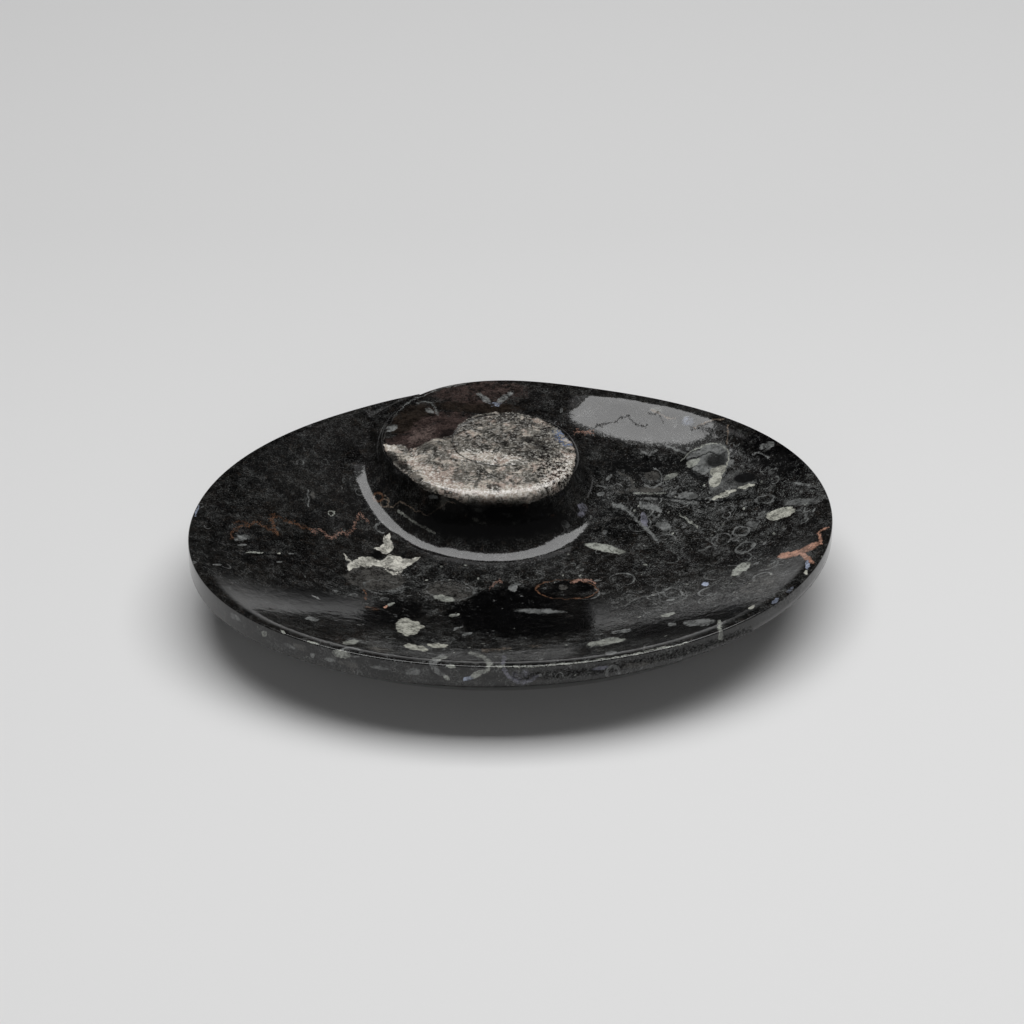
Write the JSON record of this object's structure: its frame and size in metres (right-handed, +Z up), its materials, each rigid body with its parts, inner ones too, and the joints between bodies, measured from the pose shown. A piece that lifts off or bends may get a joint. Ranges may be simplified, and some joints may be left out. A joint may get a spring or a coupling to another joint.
{
  "type": "carved fossil limestone plate",
  "caption": "Shallow oval plate of polished black fossil limestone, carved as an ammonite whose raised coil opens out into the rim.",
  "frame": {"origin": "centre of the outline, on the flat base that the plate stands on", "axes": "+X along the plate's longest extent, +Y towards the raised coil, +Z up out of the dish"},
  "size_m": [0.2002, 0.1732, 0.0286],
  "materials": {
    "stone": null
  },
  "bodies": {
    "root": {"fossil_plate": "stone"}
  },
  "joints": []
}
